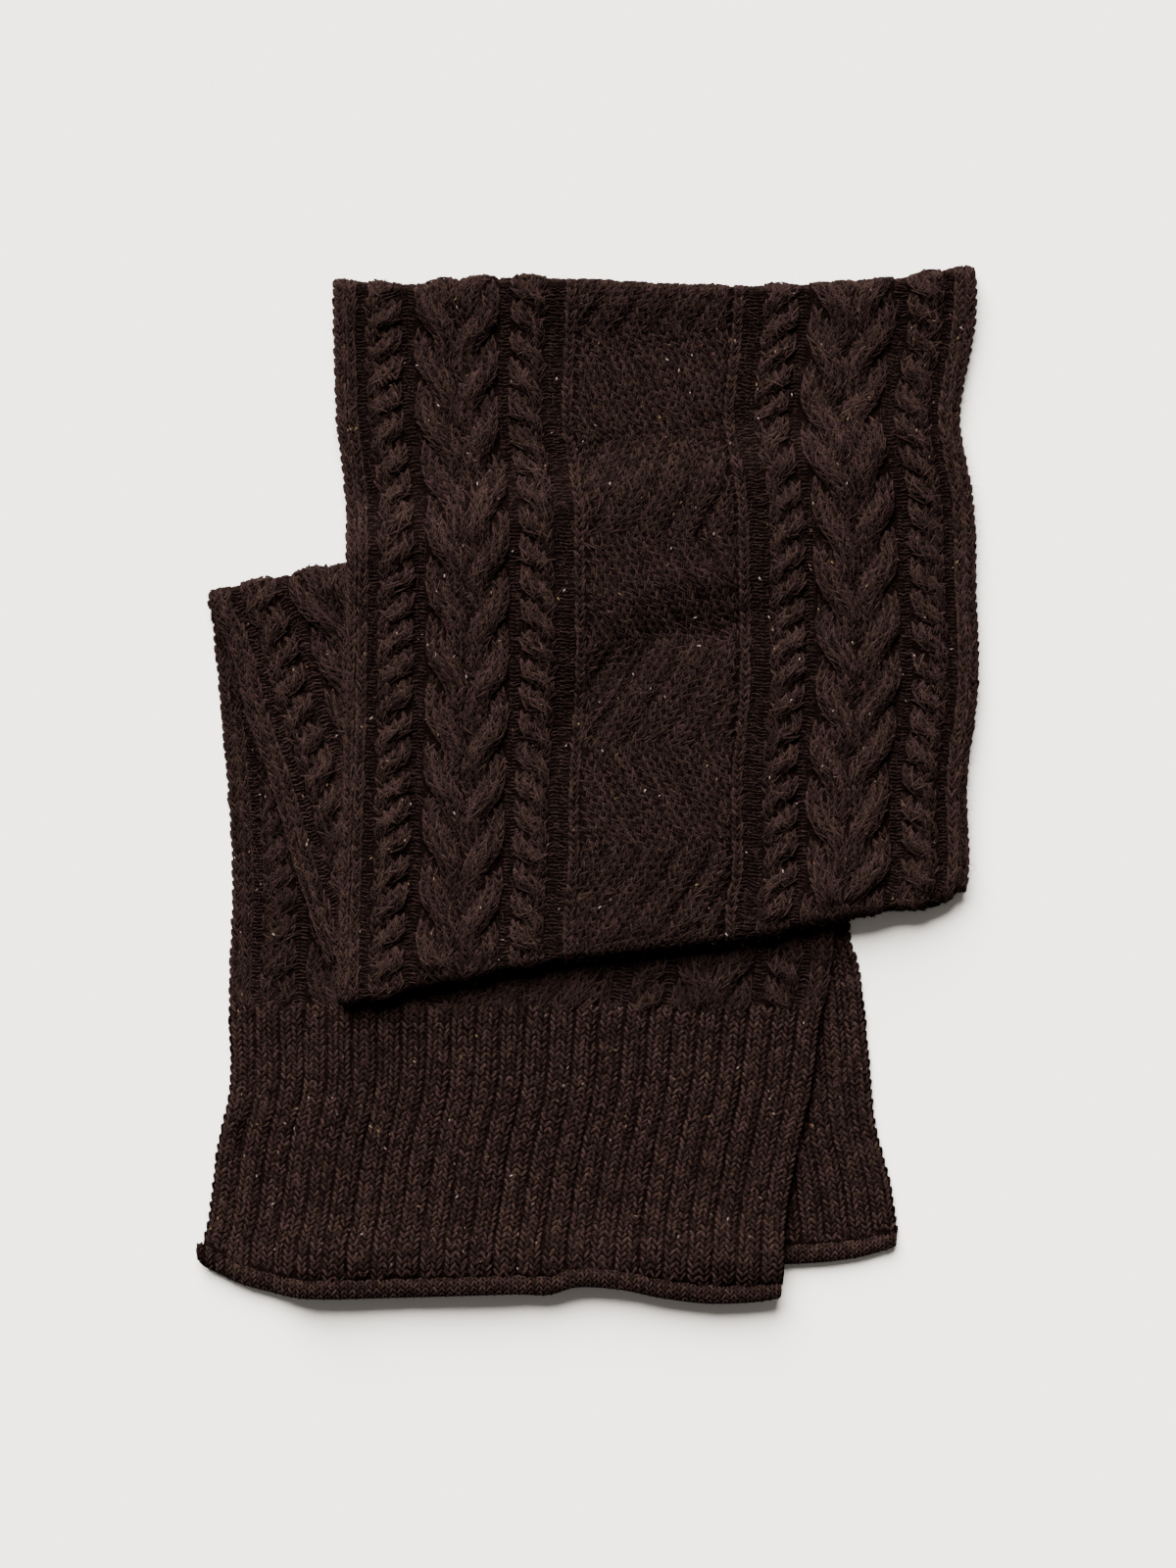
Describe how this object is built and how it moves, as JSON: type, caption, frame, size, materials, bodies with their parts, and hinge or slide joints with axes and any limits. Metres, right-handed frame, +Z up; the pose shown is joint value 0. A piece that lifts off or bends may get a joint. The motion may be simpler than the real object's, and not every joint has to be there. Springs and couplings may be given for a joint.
{
  "type": "folded cable-knit scarf",
  "caption": "Dark brown wool scarf in rope, horseshoe and zigzag cables, folded in zigzag and laid flat, with both ribbed ends showing below the fold.",
  "frame": {"origin": "centre of the bounding box's base, on the surface that the scarf lies on", "axes": "+Y runs up the top stretch, from the ribbed ends to the far fold. +X runs across the cloth to the right as seen from above. +Z is up."},
  "size_m": [0.4312, 0.5716, 0.0242],
  "materials": {
    "wool": "matte heathered dark brown wool, with a soft halo and small pale flecks"
  },
  "bodies": {
    "root": {"top_panel": "wool", "slant_stretch": "wool", "front_end": "wool", "back_end": "wool", "front_hem_roll": "wool", "back_hem_roll": "wool", "hidden_layers": "wool"}
  },
  "joints": []
}
